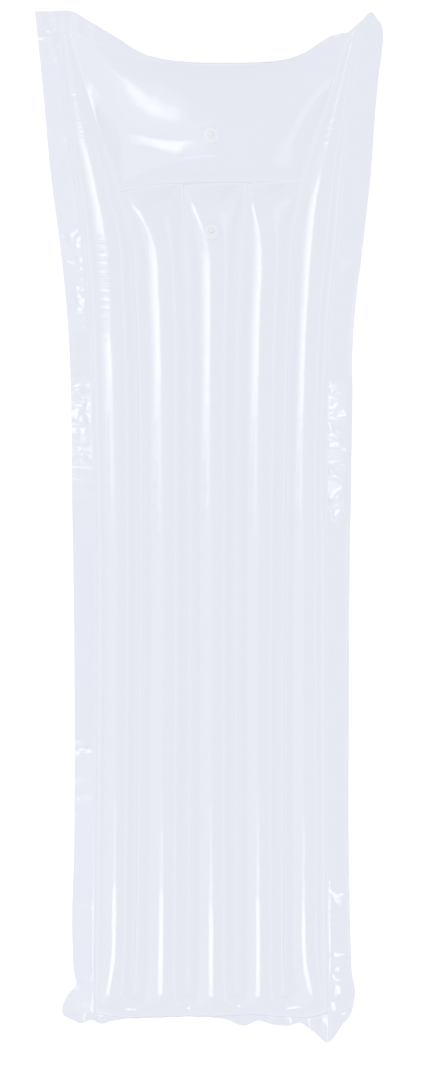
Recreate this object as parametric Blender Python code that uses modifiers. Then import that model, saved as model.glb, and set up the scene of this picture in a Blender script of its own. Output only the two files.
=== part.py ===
# Inflatable pool air mattress: two welded film sheets make five long tubes and a pillow.
# The mat lies on its underside, +Y towards the pillow, +Z up, in metres.
# Both chambers are filled through a sunken stem valve in the underside.

import math

import bmesh
import bpy
from mathutils import Vector

# Lengths along the mat, measured from the middle of its length
HEAD_END = 0.900
PILLOW_TOP_MIDDLE = 0.814
PILLOW_SEAM = 0.592
FAN_START = 0.075
FOOT_EDGE = -0.866
FOOT_TONGUE_END = -0.900
FOOT_WELD_WIDTH = 0.015
TOP_WELD_WIDTH = 0.006
EAR_WELD_WIDTH = 0.034

# Half widths across the mat: in the body, at the pillow seam and at the head end
BODY_HALF, SEAM_HALF, HEAD_HALF = 0.2415, 0.273, 0.303
WELD_FLANGE_BODY, WELD_FLANGE_SEAM, WELD_FLANGE_HEAD = 0.034, 0.043, 0.043
TUBE_COUNT = 5
PILLOW_HALF_BELOW, PILLOW_HALF_ABOVE = 0.161, 0.243
EDGE_FLARE_POWER, SEAM_FLARE_POWER = 2.0, 4.0

# Ears, which start and end at unlike distances from the middle on the two sides
LEFT_EAR_START, LEFT_EAR_END = 0.070, 0.250
RIGHT_EAR_START, RIGHT_EAR_END = 0.130, 0.285

# Foot corners and the tongue of flange at one of them
FOOT_CORNER_FLARE, FOOT_CORNER_LENGTH = 0.013, 0.090
TONGUE_FROM_CORNER, TONGUE_HALF_WIDTH, TONGUE_TIP_SHARE = 0.0535, 0.034, 0.15

# Inflated thicknesses
TUBE_HEIGHT = 0.0760
PILLOW_HEIGHT = 0.1200
TUBE_WALL_ANGLE = math.radians(84.0)
TUBE_STEPS = 5
END_ROUNDING = 0.042
PASSAGE_LENGTH, PASSAGE_HALF_HEIGHT = 0.030, 0.010
PILLOW_SIDE_POWER = 3.0
PILLOW_ROUNDING_SHARE = 0.40
PILLOW_RISE_START, PILLOW_RISE_END = 0.430, 0.700
EDGE_DROOP, HEAD_DROOP = 0.003, 0.014
FILM = 0.00025
WELD_GAP = 0.0003

# Where the crosswise lines of film points lie, as shares of the stretches they divide
FOOT_ROUNDING_ROWS = (0.14, 0.46, 1.0)
STRAIGHT_ROW = 0.6
FAN_ROWS = (0.5, 0.78)
SEAM_ROUNDING_ROWS = (0.43, 0.12)
PILLOW_ROWS = (0.0, 0.03, 0.13)

# Valves: places along the centre line, and sizes
MAIN_VALVE_FROM_SEAM = 0.067
PILLOW_VALVE_FROM_TOP = 0.118
VALVE_LIFT = 0.004
BORE_RADIUS = 0.0037
NECK_RADIUS = 0.0055
NECK_LENGTH = 0.0123
RIM_DEPTH = 0.0022
CUP_DEPTH = 0.0107
CUP_MOUTH_RADIUS = 0.0130
CUP_WALL = 0.0005
CUP_STEPS = 8
VALVE_FLANGE_RADIUS = 0.0190
VALVE_FLANGE_THICKNESS = 0.0010
COLLAR_WIDTH, COLLAR_THICKNESS = 0.0011, 0.0012
PIN_LENGTH = 0.0040
PIN_TAPER = 0.0010
CAP_RADIUS = 0.0065
CAP_THICKNESS = 0.0014
CAP_CHAMFER = 0.00035
HINGE_REACH = 0.0090
STRAP_WIDTH, STRAP_THICKNESS, STRAP_ROUNDING = 0.0050, 0.0008, 0.0002
LUG_THICKNESS = 0.0016
TAB_LENGTH, TAB_WIDTH = 0.0028, 0.0060
FLAP_THICKNESS = 0.0008
FLAP_OVERLAP = 0.0010
FLAP_EAR_LENGTH, FLAP_EAR_WIDTH = 0.0012, 0.0040
BLOCK_ROOT = 0.0010
GAP = 0.0003
PAD_MARGIN = 0.002
ROUND_STEPS = 24

# Values worked out from the sizes above
TUBE_HALF = TUBE_HEIGHT / 2
PILLOW_HALF_HEIGHT = PILLOW_HEIGHT / 2
FOOT_WELD = FOOT_EDGE + FOOT_WELD_WIDTH
TONGUE_PLACE = BODY_HALF + FOOT_CORNER_FLARE - TONGUE_FROM_CORNER
SHEET_OFFSET = (FILM + WELD_GAP) / 2
UNDERSIDE_LIFT = SHEET_OFFSET + FILM / 2 * math.cos(TUBE_WALL_ANGLE / TUBE_STEPS)
COLUMNS = TUBE_COUNT * TUBE_STEPS + 2
BODY_PITCH = 2 * (BODY_HALF - WELD_FLANGE_BODY) / TUBE_COUNT
PAD_HALF = VALVE_FLANGE_RADIUS + PAD_MARGIN
FILM_HOLE_RADIUS = CUP_MOUTH_RADIUS + CUP_WALL + GAP
FLANGE_TOP = FILM + GAP
MAIN_VALVE = PILLOW_SEAM - MAIN_VALVE_FROM_SEAM
PILLOW_VALVE = PILLOW_TOP_MIDDLE - PILLOW_VALVE_FROM_TOP


def ease(value):
    value = min(max(value, 0.0), 1.0)
    return value * value * (3 - 2 * value)


def mix(low, high, share):
    return low + (high - low) * share


def arch(share):
    """Height of a round end: 0 at share 0, full height from share 1 on."""
    return math.sqrt(1 - (1 - min(share, 1.0)) ** 2)


def top_edge(x):
    start, end = (LEFT_EAR_START, LEFT_EAR_END) if x < 0 else (RIGHT_EAR_START, RIGHT_EAR_END)
    return mix(PILLOW_TOP_MIDDLE, HEAD_END, ease((abs(x) - start) / (end - start)))


def top_weld(x):
    return top_edge(x) - mix(TOP_WELD_WIDTH, EAR_WELD_WIDTH, min(abs(x) / PILLOW_HALF_ABOVE, 1.0))


def foot_edge(x):
    reach = 1 + TONGUE_TIP_SHARE - abs(x - TONGUE_PLACE) / TONGUE_HALF_WIDTH
    return mix(FOOT_EDGE, FOOT_TONGUE_END, ease(reach))


def flare(y, power):
    """How far the mat has widened at y: 0 up to the start of the fan, 1 at the pillow seam."""
    share = (y - FAN_START) / (PILLOW_SEAM - FAN_START)
    return min(max(share, 0.0), 1.0) ** power


def pitch(y):
    """Width of the middle tube, which widens towards the pillow."""
    return mix(BODY_PITCH, 2 * PILLOW_HALF_BELOW / (TUBE_COUNT - 2), flare(y, SEAM_FLARE_POWER))


def wall_angle(step):
    """Angle of a point round a tube's section, from one seam to the other."""
    return TUBE_WALL_ANGLE * (2 * step / TUBE_STEPS - 1)


class Row:
    """One crosswise line of the film, at a distance along the body or a share up the pillow."""

    def __init__(self, y=None, share=None, edge=False):
        self.y = y
        self.share = share
        self.edge = edge

    def in_pillow(self):
        return self.share is not None

    def half_widths(self):
        """Half widths to the outer edge, the edge weld and the outermost long seam."""
        if self.in_pillow():
            return (
                mix(SEAM_HALF, HEAD_HALF, self.share),
                mix(SEAM_HALF - WELD_FLANGE_SEAM, HEAD_HALF - WELD_FLANGE_HEAD, self.share),
                mix(PILLOW_HALF_BELOW, PILLOW_HALF_ABOVE, self.share),
            )
        fan = flare(self.y, EDGE_FLARE_POWER)
        corner = ease(1 - (self.y - FOOT_WELD) / FOOT_CORNER_LENGTH)
        edge = mix(BODY_HALF, SEAM_HALF, fan) + FOOT_CORNER_FLARE * corner
        weld = mix(BODY_HALF - WELD_FLANGE_BODY, SEAM_HALF - WELD_FLANGE_SEAM, fan)
        return edge, weld, pitch(self.y) * (TUBE_COUNT - 2) / 2

    def across(self, column):
        """x of a column of points, and (tube, step, width) where the column is on a tube."""
        edge, weld, seam = self.half_widths()
        side = -1 if column < COLUMNS / 2 else 1
        if column in (0, COLUMNS):
            return side * edge, None
        tube, step = divmod(column - 1, TUBE_STEPS)
        if tube == TUBE_COUNT:
            tube, step = TUBE_COUNT - 1, TUBE_STEPS
        lines = [-weld, -seam]
        lines += [mix(-seam, seam, k / (TUBE_COUNT - 2)) for k in range(1, TUBE_COUNT - 1)]
        lines += [weld]
        share = (math.sin(wall_angle(step)) / math.sin(TUBE_WALL_ANGLE) + 1) / 2
        x = mix(lines[tube], lines[tube + 1], share)
        if column in (COLUMNS // 2, COLUMNS // 2 + 1) and self.near_valves():
            x = math.copysign(max(abs(x), PAD_HALF), x)
        return x, (tube, step, lines[tube + 1] - lines[tube])

    def near_valves(self):
        return self.in_pillow() or self.y > MAIN_VALVE - 2 * PAD_HALF

    def along(self, x):
        if self.in_pillow():
            if self.edge:
                return top_edge(x)
            return mix(PILLOW_SEAM, top_weld(x), self.share)
        return foot_edge(x) if self.edge else self.y

    def half_height(self, x, place):
        """Half the inflated thickness between the two sheets."""
        if self.edge or place is None:
            return 0.0
        tube, step, width = place
        wall, crest = math.cos(TUBE_WALL_ANGLE), math.cos(TUBE_WALL_ANGLE / TUBE_STEPS)
        round_share = max((math.cos(wall_angle(step)) - wall) / (crest - wall), 0.0)
        outer_tube = tube in (0, TUBE_COUNT - 1)
        height = TUBE_HALF * round_share
        if outer_tube:
            height *= min(width / BODY_PITCH, 1.0)
        if self.in_pillow():
            return self.pillow_height(x, outer_tube, height)
        from_foot = self.y - FOOT_WELD
        height *= arch(from_foot / END_ROUNDING)
        if not outer_tube:
            height *= arch((PILLOW_SEAM - self.y) / END_ROUNDING)
        seam_before = step == 0 and tube > 0
        seam_after = step == TUBE_STEPS and tube < TUBE_COUNT - 1
        if (seam_before or seam_after) and from_foot < PASSAGE_LENGTH:
            height = PASSAGE_HALF_HEIGHT * math.sin(math.pi * from_foot / PASSAGE_LENGTH)
        return height

    def pillow_height(self, x, outer_tube, tube_height):
        if outer_tube:
            to_end = (1 - self.share) * (HEAD_END - PILLOW_SEAM) / END_ROUNDING
            return tube_height * arch(to_end)
        sideways = min(abs(x) / self.half_widths()[2], 1.0) ** PILLOW_SIDE_POWER
        lengthways = arch(min(self.share, 1 - self.share) / PILLOW_ROUNDING_SHARE)
        return PILLOW_HALF_HEIGHT * math.sqrt(1 - sideways) * lengthways

    def middle(self, x, y, column):
        """Height of the weld plane, which rises with the thicker pillow."""
        rise = ease((y - PILLOW_RISE_START) / (PILLOW_RISE_END - PILLOW_RISE_START))
        level = mix(TUBE_HALF, PILLOW_HALF_HEIGHT + GAP, rise) + UNDERSIDE_LIFT
        if column in (0, COLUMNS) or self.edge:
            towards_head = ease((y - PILLOW_SEAM) / (HEAD_END - PILLOW_SEAM))
            level -= mix(EDGE_DROOP, HEAD_DROOP, towards_head)
        return level


def pillow_share(y):
    return (y - PILLOW_SEAM) / (top_weld(PAD_HALF) - PILLOW_SEAM)


def film_rows():
    """The crosswise lines from foot to head, close together where the shape turns."""
    rows = [Row(y=FOOT_WELD, edge=True), Row(y=FOOT_WELD)]
    rows += [Row(y=FOOT_WELD + END_ROUNDING * part) for part in FOOT_ROUNDING_ROWS]
    rows += [Row(y=mix(FOOT_WELD, FAN_START, STRAIGHT_ROW)), Row(y=FAN_START)]
    rows += [Row(y=mix(FAN_START, MAIN_VALVE, part)) for part in FAN_ROWS]
    rows += [Row(y=MAIN_VALVE - PAD_HALF), Row(y=MAIN_VALVE + PAD_HALF)]
    rows += [Row(y=PILLOW_SEAM - END_ROUNDING * part) for part in SEAM_ROUNDING_ROWS]
    rows += [Row(share=part) for part in PILLOW_ROWS]
    rows += [Row(share=pillow_share(PILLOW_VALVE + side * PAD_HALF)) for side in (-1, 1)]
    rows += [Row(share=1 - part) for part in reversed(PILLOW_ROWS)]
    rows += [Row(share=1.0, edge=True)]
    return rows


def pad_level(valve_y):
    """Height above the ground of the film's outer face round a valve."""
    if valve_y > PILLOW_SEAM:
        return VALVE_LIFT
    row = Row(y=valve_y)
    x, place = row.across(COLUMNS // 2)
    return row.middle(x, valve_y, COLUMNS // 2) - row.half_height(x, place) - UNDERSIDE_LIFT


def film_point(row, column, side):
    """A point of the film's middle surface: side is 1 for the top sheet and -1 below."""
    x, place = row.across(column)
    y = row.along(x)
    height = row.half_height(x, place) + SHEET_OFFSET
    z = row.middle(x, y, column) + side * height
    if side < 0 and column in (COLUMNS // 2, COLUMNS // 2 + 1):
        for valve_y in (MAIN_VALVE, PILLOW_VALVE):
            if abs(y - valve_y) < PAD_HALF + PAD_MARGIN:
                z = pad_level(valve_y) + FILM / 2
    return Vector((x, y, z))


def make_material(name, color, roughness, alpha=1.0, transmission=0.0):
    material = bpy.data.materials.new(name)
    material.use_nodes = True
    shader = material.node_tree.nodes["Principled BSDF"]
    shader.inputs["Base Color"].default_value = (*color, 1.0)
    shader.inputs["Roughness"].default_value = roughness
    shader.inputs["Metallic"].default_value = 0.0
    shader.inputs["Transmission Weight"].default_value = transmission
    shader.inputs["Alpha"].default_value = alpha
    return material


def add_object(name, mesh, material, parent=None, hidden=False):
    thing = bpy.data.objects.new(name, mesh)
    (cutters if hidden else parts).objects.link(thing)
    if hidden:
        thing.hide_render = True
        thing.display_type = "WIRE"
    else:
        mesh.materials.append(material)
    thing.parent = parent
    return thing


def make_sheet(name, side, material):
    """A grid of film laid out over the tubes and the pillow, then given its thickness."""
    rows = film_rows()
    bm = bmesh.new()
    bmesh.ops.create_grid(bm, x_segments=COLUMNS, y_segments=len(rows) - 1, size=0.5)
    for vertex in bm.verts:
        column = round((vertex.co.x + 0.5) * COLUMNS)
        row = round((vertex.co.y + 0.5) * (len(rows) - 1))
        vertex.co = film_point(rows[row], column, side)
    if side < 0:
        bmesh.ops.reverse_faces(bm, faces=bm.faces[:])
    mesh = bpy.data.meshes.new(name)
    bm.to_mesh(mesh)
    bm.free()
    mesh.shade_smooth()
    sheet = add_object(name, mesh, material)
    wall = sheet.modifiers.new("film", "SOLIDIFY")
    wall.thickness = FILM
    wall.offset = 0.0
    return sheet


def box_mesh(name, low, high):
    bm = bmesh.new()
    bmesh.ops.create_cube(bm, size=1.0)
    size = Vector(high) - Vector(low)
    centre = (Vector(high) + Vector(low)) / 2
    bmesh.ops.scale(bm, vec=size, verts=bm.verts)
    bmesh.ops.translate(bm, vec=centre, verts=bm.verts)
    mesh = bpy.data.meshes.new(name)
    bm.to_mesh(mesh)
    bm.free()
    return mesh


def turned(name, profile, material, parent, closed=True):
    """A profile of (radius, height) points turned about Z. A closed one makes a ring."""
    mesh = bpy.data.meshes.new(name)
    points = [(radius, 0.0, height) for radius, height in profile]
    edges = [(i, i + 1) for i in range(len(points) - 1)]
    if closed:
        edges.append((len(points) - 1, 0))
    mesh.from_pydata(points, edges, [])
    piece = add_object(name, mesh, material, parent)
    screw = piece.modifiers.new("turn", "SCREW")
    screw.steps = screw.render_steps = ROUND_STEPS
    screw.use_merge_vertices = True
    screw.merge_threshold = 0.00001
    screw.use_smooth_shade = True
    return piece


def join_box(piece, low, high, parent):
    """Adds a block to a turned piece with a Boolean union."""
    block = add_object(piece.name + "_block", box_mesh(piece.name + "_block", low, high), None, parent, True)
    union = piece.modifiers.new("block", "BOOLEAN")
    union.operation = "UNION"
    union.object = block
    union.solver = "EXACT"


def round_off(piece, width):
    bevel = piece.modifiers.new("edges", "BEVEL")
    bevel.width = width
    bevel.segments = 1
    bevel.limit_method = "ANGLE"
    bevel.angle_limit = math.radians(50)


def make_valve(prefix, y, sheet):
    """A stem valve seen from below: local +Z points out of the mat, 0 is the film's outer face."""
    level = pad_level(y)
    seat = bpy.data.objects.new(prefix + "_seat", None)
    seat.location = (0.0, y, level)
    seat.rotation_euler = (math.pi, 0.0, 0.0)
    parts.objects.link(seat)

    # Weld flange inside the film, round the mouth of the cup
    inner = CUP_MOUTH_RADIUS + CUP_WALL / 2 + GAP
    top, bottom = -FLANGE_TOP, -FLANGE_TOP - VALVE_FLANGE_THICKNESS
    ring = [(VALVE_FLANGE_RADIUS, top), (VALVE_FLANGE_RADIUS, bottom), (inner, bottom), (inner, top)]
    turned(prefix + "_flange", ring, valve_plastic, seat)

    # Soft cup that holds the stem sunk and turns inside out when the stem is pulled
    start = -FLANGE_TOP - CUP_WALL / 2
    inside = NECK_RADIUS + COLLAR_WIDTH + GAP
    profile = []
    for k in range(CUP_STEPS + 1):
        angle = math.pi / 2 * k / CUP_STEPS
        radius = inside + (CUP_MOUTH_RADIUS - inside) * math.cos(angle)
        profile.append((radius, start - CUP_DEPTH * math.sin(angle)))
    cup = turned(prefix + "_cup", profile, valve_plastic, seat, closed=False)
    wall = cup.modifiers.new("wall", "SOLIDIFY")
    wall.thickness = CUP_WALL
    wall.offset = 0.0

    # Stem: the travelling joint carries the neck, the flap and the stopper
    rim = -RIM_DEPTH
    foot = rim - NECK_LENGTH
    stem = bpy.data.objects.new(prefix + "_stem", None)
    stem.parent = seat
    parts.objects.link(stem)
    collar = start - CUP_DEPTH
    outline = [
        (NECK_RADIUS, rim),
        (NECK_RADIUS, collar + COLLAR_THICKNESS / 2),
        (NECK_RADIUS + COLLAR_WIDTH, collar + COLLAR_THICKNESS / 2),
        (NECK_RADIUS + COLLAR_WIDTH, collar - COLLAR_THICKNESS / 2),
        (NECK_RADIUS, collar - COLLAR_THICKNESS / 2),
        (NECK_RADIUS, foot),
        (BORE_RADIUS, foot),
        (BORE_RADIUS, rim),
    ]
    neck = turned(prefix + "_neck", outline, valve_plastic, stem)
    lug_low = (mix(BORE_RADIUS, NECK_RADIUS, 0.5), -STRAP_WIDTH / 2, rim - LUG_THICKNESS)
    lug_high = (HINGE_REACH - GAP, STRAP_WIDTH / 2, rim - GAP / 2)
    join_box(neck, lug_low, lug_high, stem)

    # One-way flap on the inner end, hinged at its edge and opening inwards
    flap_hinge = NECK_RADIUS + FLAP_EAR_LENGTH
    check = bpy.data.objects.new(prefix + "_flap_hinge", None)
    check.parent = stem
    check.location = (flap_hinge, 0.0, foot - GAP)
    parts.objects.link(check)
    flap_radius = BORE_RADIUS + FLAP_OVERLAP
    disc = [(0.0, 0.0), (flap_radius, 0.0), (flap_radius, -FLAP_THICKNESS), (0.0, -FLAP_THICKNESS)]
    flap = turned(prefix + "_flap", disc, valve_plastic, check, closed=False)
    flap.location = (-flap_hinge, 0.0, 0.0)
    ear_low = (flap_radius - BLOCK_ROOT, -FLAP_EAR_WIDTH / 2, -FLAP_THICKNESS)
    join_box(flap, ear_low, (flap_hinge, FLAP_EAR_WIDTH / 2, 0.0), check)
    flap.modifiers["block"].object.location = flap.location

    # Stopper: cap, tapered plug and finger tab, on a strap that hinges beside the rim
    hinge = bpy.data.objects.new(prefix + "_stopper_hinge", None)
    hinge.parent = stem
    hinge.location = (HINGE_REACH, 0.0, rim)
    parts.objects.link(hinge)
    pin = BORE_RADIUS - GAP
    under = rim + GAP
    over = under + CAP_THICKNESS
    shape = [
        (0.0, over),
        (CAP_RADIUS - CAP_CHAMFER, over),
        (CAP_RADIUS, over - CAP_CHAMFER),
        (CAP_RADIUS, under),
        (pin, under),
        (pin - PIN_TAPER / 4, rim - PIN_LENGTH / 3),
        (pin - PIN_TAPER, rim - PIN_LENGTH),
        (0.0, rim - PIN_LENGTH),
    ]
    stopper = turned(prefix + "_stopper", shape, valve_plastic, hinge, closed=False)
    stopper.location = (-HINGE_REACH, 0.0, -rim)
    tab_low = (-CAP_RADIUS - TAB_LENGTH, -TAB_WIDTH / 2, under)
    tab_high = (-CAP_RADIUS + BLOCK_ROOT, TAB_WIDTH / 2, under + CAP_THICKNESS / 2)
    join_box(stopper, tab_low, tab_high, hinge)
    stopper.modifiers["block"].object.location = stopper.location

    strap_low = (CAP_RADIUS + GAP - HINGE_REACH, -STRAP_WIDTH / 2, GAP)
    strap_high = (0.0, STRAP_WIDTH / 2, GAP + STRAP_THICKNESS)
    strap = add_object(
        prefix + "_strap", box_mesh(prefix + "_strap", strap_low, strap_high), valve_plastic, hinge
    )
    round_off(strap, STRAP_ROUNDING)

    # Round hole in the film for the mouth of the cup
    hole = bpy.data.meshes.new(prefix + "_hole")
    bm = bmesh.new()
    bmesh.ops.create_cone(
        bm,
        cap_ends=True,
        segments=ROUND_STEPS,
        radius1=FILM_HOLE_RADIUS,
        radius2=FILM_HOLE_RADIUS,
        depth=4 * GAP + 4 * FILM,
    )
    bm.to_mesh(hole)
    bm.free()
    cutter = add_object(prefix + "_hole", hole, None, None, True)
    cutter.location = (0.0, y, level + FILM / 2)
    cut = sheet.modifiers.new(prefix + "_hole", "BOOLEAN")
    cut.operation = "DIFFERENCE"
    cut.object = cutter
    cut.solver = "EXACT"


for old in list(bpy.data.objects):
    bpy.data.objects.remove(old, do_unlink=True)

parts = bpy.data.collections.new("pool_air_mattress")
cutters = bpy.data.collections.new("cutters")
bpy.context.scene.collection.children.link(parts)
bpy.context.scene.collection.children.link(cutters)

film_top = make_material("film_top", (0.80, 0.82, 0.89), 0.22)
film_bottom = make_material("film_bottom", (0.78, 0.80, 0.88), 0.24)
valve_plastic = make_material("valve_plastic", (0.86, 0.87, 0.90), 0.32)

make_sheet("top_sheet", 1, film_top)
bottom_sheet = make_sheet("bottom_sheet", -1, film_bottom)
make_valve("main_valve", MAIN_VALVE, bottom_sheet)
make_valve("pillow_valve", PILLOW_VALVE, bottom_sheet)
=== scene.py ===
import math

import bmesh
import bpy
import numpy as np
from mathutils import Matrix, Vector


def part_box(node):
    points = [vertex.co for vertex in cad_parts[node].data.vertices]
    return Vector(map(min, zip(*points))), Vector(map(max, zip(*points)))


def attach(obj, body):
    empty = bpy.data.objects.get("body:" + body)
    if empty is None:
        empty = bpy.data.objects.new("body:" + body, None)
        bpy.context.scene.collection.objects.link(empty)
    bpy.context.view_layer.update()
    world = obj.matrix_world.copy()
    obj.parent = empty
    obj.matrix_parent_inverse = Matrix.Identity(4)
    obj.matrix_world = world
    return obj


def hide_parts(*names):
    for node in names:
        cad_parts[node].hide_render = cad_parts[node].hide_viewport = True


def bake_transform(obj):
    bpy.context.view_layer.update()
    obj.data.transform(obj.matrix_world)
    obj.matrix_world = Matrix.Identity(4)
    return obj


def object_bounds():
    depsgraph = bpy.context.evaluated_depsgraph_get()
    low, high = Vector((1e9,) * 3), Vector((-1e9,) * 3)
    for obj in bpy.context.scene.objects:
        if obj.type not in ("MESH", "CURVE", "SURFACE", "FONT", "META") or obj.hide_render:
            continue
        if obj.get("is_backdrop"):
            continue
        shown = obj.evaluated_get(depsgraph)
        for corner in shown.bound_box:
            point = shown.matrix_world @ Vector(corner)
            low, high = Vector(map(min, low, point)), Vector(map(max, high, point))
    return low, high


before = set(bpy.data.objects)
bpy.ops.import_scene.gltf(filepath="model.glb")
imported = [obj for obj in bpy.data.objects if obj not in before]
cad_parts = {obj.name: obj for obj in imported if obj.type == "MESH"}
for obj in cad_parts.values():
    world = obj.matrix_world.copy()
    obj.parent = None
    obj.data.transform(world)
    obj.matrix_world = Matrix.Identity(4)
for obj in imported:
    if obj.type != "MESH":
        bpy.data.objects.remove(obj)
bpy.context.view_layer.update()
scene = bpy.context.scene


# Helpers shared by the pieces
def ease(value):
    value = np.clip(value, 0, 1)
    return value * value * (3 - 2 * value)


def mix(low, high, share):
    return low + (high - low) * share


def crowded(share, turn):
    # shares of -1 to 1 as 0 to 1, closer together at both ends
    return (np.sin(share * turn) / np.sin(turn) + 1) / 2


def through(points):
    # a smooth curve through (place, value) points, read as a function of place
    at = np.array([point[0] for point in points])
    value = np.array([point[1] for point in points])
    slope = np.gradient(value, at)

    def read(place):
        place = np.clip(place, at[0], at[-1])
        i = np.clip(np.searchsorted(at, place) - 1, 0, len(at) - 2)
        width = at[i + 1] - at[i]
        s = (place - at[i]) / width
        start = value[i] * (2 * s**3 - 3 * s**2 + 1) + slope[i] * width * (s**3 - 2 * s**2 + s)
        end = value[i + 1] * (3 * s**2 - 2 * s**3) + slope[i + 1] * width * (s**3 - s**2)
        return start + end

    return read


def ripple(place, length, seed):
    # irregular waves of about that length, -1 to 1 or so
    draw = np.random.default_rng(seed)
    total = 0
    for _ in range(5):
        total = total + np.sin(2 * np.pi * (place / (length * (0.65 + 0.7 * draw.random())) + draw.random()))
    return total / 2.5


def link(piece):
    scene.collection.objects.link(piece)
    return piece


def newMaterial(name):
    material = bpy.data.materials.new(name)
    material.use_nodes = True
    return material, material.node_tree.nodes, material.node_tree.links


def addBump(nodes, links, scale, height):
    # a noise that lies still on the piece, and the bump it makes
    place = nodes.new("ShaderNodeTexCoord")
    noise = nodes.new("ShaderNodeTexNoise")
    noise.inputs["Scale"].default_value = scale
    bump = nodes.new("ShaderNodeBump")
    bump.inputs["Distance"].default_value = height
    links.new(place.outputs["Object"], noise.inputs["Vector"])
    links.new(noise.outputs["Fac"], bump.inputs["Height"])
    return noise, bump


def fromBmesh(name, bm):
    mesh = bpy.data.meshes.new(name)
    bm.to_mesh(mesh)
    bm.free()
    return link(bpy.data.objects.new(name, mesh))


def smoothed(piece, sharpAngle):
    piece.data.shade_smooth()
    piece.data.set_sharp_from_angle(angle=math.radians(sharpAngle))
    return piece


def addWall(piece, thickness):
    wall = piece.modifiers.new("wall", "SOLIDIFY")
    wall.thickness = thickness
    wall.offset = 0.0


def addBoolean(piece, operation, other):
    boolean = piece.modifiers.new(other.name, "BOOLEAN")
    boolean.operation = operation
    boolean.object = other
    boolean.solver = "EXACT"


# The film: seams and outline, as (distance along the mat, distance across) or the other way round
outline = {
    "leftEdge": [(-0.87, -0.252), (-0.8426, -0.261), (-0.816, -0.25), (-0.799, -0.2365), (-0.78, -0.2395),
                 (-0.72, -0.243), (-0.563, -0.24), (-0.125, -0.24), (0.05, -0.243), (0.225, -0.245),
                 (0.33, -0.2485), (0.47, -0.261), (0.61, -0.278), (0.75, -0.2905), (0.82, -0.2975),
                 (0.9, -0.306)],
    "rightEdge": [(-0.87, 0.236), (-0.855, 0.2425), (-0.834, 0.25), (-0.808, 0.252), (-0.781, 0.247),
                  (-0.74, 0.245), (-0.65, 0.2425), (-0.3, 0.2415), (0.0, 0.2435), (0.225, 0.247),
                  (0.33, 0.2485), (0.4, 0.254), (0.47, 0.2625), (0.61, 0.2775), (0.68, 0.2825),
                  (0.79, 0.292), (0.835, 0.298), (0.87, 0.299), (0.9, 0.289)],
    "footEdge": [(-0.262, -0.852), (-0.236, -0.867), (-0.208, -0.862), (-0.194, -0.867), (-0.166, -0.862),
                 (-0.11, -0.86), (-0.04, -0.857), (0.0, -0.859), (0.03, -0.863), (0.052, -0.872),
                 (0.086, -0.8625), (0.102, -0.867), (0.128, -0.872), (0.156, -0.867), (0.178, -0.88),
                 (0.201, -0.9), (0.221, -0.889), (0.243, -0.86)],
    "footWeld": [(-0.21, -0.846), (-0.16, -0.8545), (-0.11, -0.8545), (-0.04, -0.853), (0.02, -0.8525),
                 (0.07, -0.85), (0.13, -0.854), (0.17, -0.8545), (0.21, -0.846)],
    "pillowSeam": [(-0.3, 0.585), (-0.161, 0.588), (-0.1, 0.597), (0.0, 0.6005), (0.11, 0.6025),
                   (0.161, 0.606), (0.3, 0.609)],
    "topWeld": [(-0.262, 0.864), (-0.245, 0.862), (-0.208, 0.845), (-0.166, 0.825), (-0.124, 0.814),
                (-0.06, 0.8095), (0.0, 0.808), (0.08, 0.8085), (0.142, 0.814), (0.175, 0.824),
                (0.205, 0.838), (0.235, 0.85), (0.262, 0.856)],
    "topEdge": [(-0.306, 0.898), (-0.27, 0.8995), (-0.236, 0.899), (-0.208, 0.883), (-0.166, 0.857),
                (-0.124, 0.83), (-0.096, 0.8215), (-0.04, 0.8145), (0.03, 0.813), (0.086, 0.814),
                (0.142, 0.8205), (0.17, 0.831), (0.205, 0.8555), (0.24, 0.866), (0.258, 0.883),
                (0.276, 0.897), (0.286, 0.8985), (0.299, 0.88)],
    # long welds from left to right: the edge weld, four seams, the edge weld
    "longWelds": [
        [(-0.88, -0.2065), (0.2, -0.2083), (0.417, -0.217), (0.547, -0.2275), (0.732, -0.253),
         (0.88, -0.2625)],
        [(-0.88, -0.135), (-0.75, -0.1315), (-0.4, -0.127), (0.05, -0.1243), (0.396, -0.131),
         (0.519, -0.14), (0.588, -0.161), (0.72, -0.203), (0.866, -0.2475)],
        [(-0.88, -0.0405), (0.1, -0.0385), (0.452, -0.042), (0.6, -0.0508)],
        [(-0.88, 0.0455), (0.1, 0.0455), (0.358, 0.0473), (0.604, 0.061)],
        [(-0.88, 0.1255), (-0.2, 0.126), (0.074, 0.129), (0.4, 0.137), (0.53, 0.145),
         (0.606, 0.16), (0.73, 0.2), (0.856, 0.2405)],
        [(-0.88, 0.2065), (-0.115, 0.2035), (0.263, 0.205), (0.396, 0.2125), (0.472, 0.2215),
         (0.613, 0.232), (0.736, 0.245), (0.88, 0.262)],
    ],
    "seamEnds": [-0.8215, -0.815, -0.817, -0.819],  # where the four seams stop, short of the foot weld
}
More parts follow.
